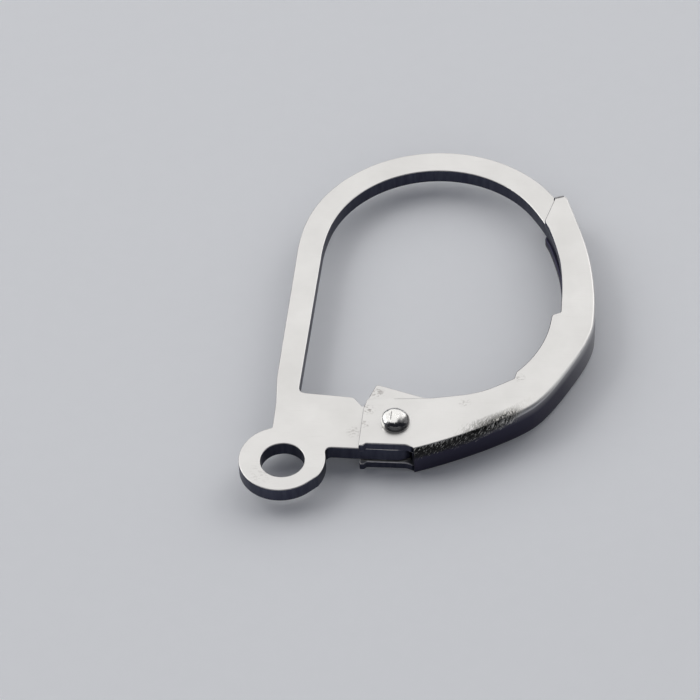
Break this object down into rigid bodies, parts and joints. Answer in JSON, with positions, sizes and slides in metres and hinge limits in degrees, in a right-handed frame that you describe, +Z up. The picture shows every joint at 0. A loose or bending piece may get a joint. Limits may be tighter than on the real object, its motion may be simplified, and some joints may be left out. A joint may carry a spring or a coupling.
{
  "type": "leverback earring",
  "caption": "Silver-toned leverback ear hook lying flat: a stamped hook with a pendant ring, closed by a folded sheet lever that swings on a domed rivet.",
  "frame": {"origin": "centre of the bounding box in X and Y, at the lowest point of the part as it lies", "axes": "+X from the ear wire's stem towards the lever, +Y from the pendant ring up to the top of the hook, +Z up, square to the flat hook"},
  "size_m": [0.0106, 0.0148, 0.0015],
  "materials": {
    "hook_metal": "satin silver plating",
    "lever_metal": "satin silver plating, coarser along the fold of the foot",
    "rivet_metal": "polished silver plating"
  },
  "bodies": {
    "hook": {"ear_hook": "hook_metal"},
    "lever": {"lever": "lever_metal", "rivet": "rivet_metal"}
  },
  "joints": [
    {"name": "lever_hinge", "type": "hinge", "parent": "hook", "child": "lever", "pos_m": [-0.00055, -0.00466, 0.00068], "axis": [0, 0, -1], "range_deg": [0, 55]}
  ]
}
